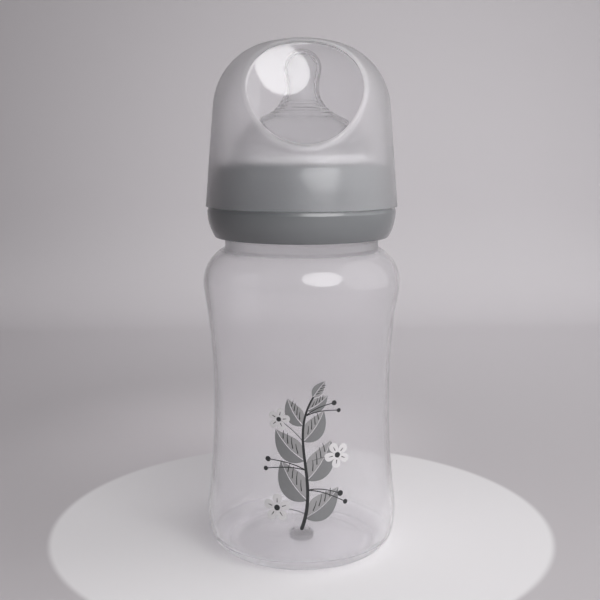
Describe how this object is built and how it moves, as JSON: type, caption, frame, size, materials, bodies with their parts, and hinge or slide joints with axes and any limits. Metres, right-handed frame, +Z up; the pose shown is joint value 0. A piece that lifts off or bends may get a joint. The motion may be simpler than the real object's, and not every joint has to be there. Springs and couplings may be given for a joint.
{
  "type": "baby bottle",
  "caption": "Waisted clear feeding bottle with a silicone teat, a grey screw collar and a translucent lift-off hood with a round dish in its front.",
  "frame": {"origin": "middle of the standing face, on the bottle's axis", "axes": "+Z up along the axis, -Y towards the front, where the hood's dish and the print are"},
  "size_m": [0.0674, 0.0674, 0.1753],
  "materials": {
    "clear_plastic": "clear, glossy",
    "silicone": "clear, soft satin",
    "grey_plastic": "satin",
    "frosted_plastic": "frosted, with a polished dish"
  },
  "bodies": {
    "bottle": {"bottle_body": "clear_plastic"},
    "teat": {"teat": "silicone"},
    "collar": {"collar": "grey_plastic"},
    "hood": {"dome_cap": "frosted_plastic"}
  },
  "joints": [
    {"name": "teat_lift", "type": "slide", "parent": "bottle", "child": "teat", "axis": [0, 0, 1], "range_m": [0, 0.00563]},
    {"name": "collar_turn", "type": "hinge", "parent": "teat", "child": "collar", "pos_m": [0, 0, 0.12], "axis": [0, 0, 1], "range_deg": [0, 450]},
    {"name": "hood_lift", "type": "slide", "parent": "collar", "child": "hood", "axis": [0, 0, 1], "range_m": [0, 0.065]}
  ],
  "couplings": [
    {"joint": "teat_lift", "follows": "collar_turn", "m_per_rad": 0.0007162}
  ]
}
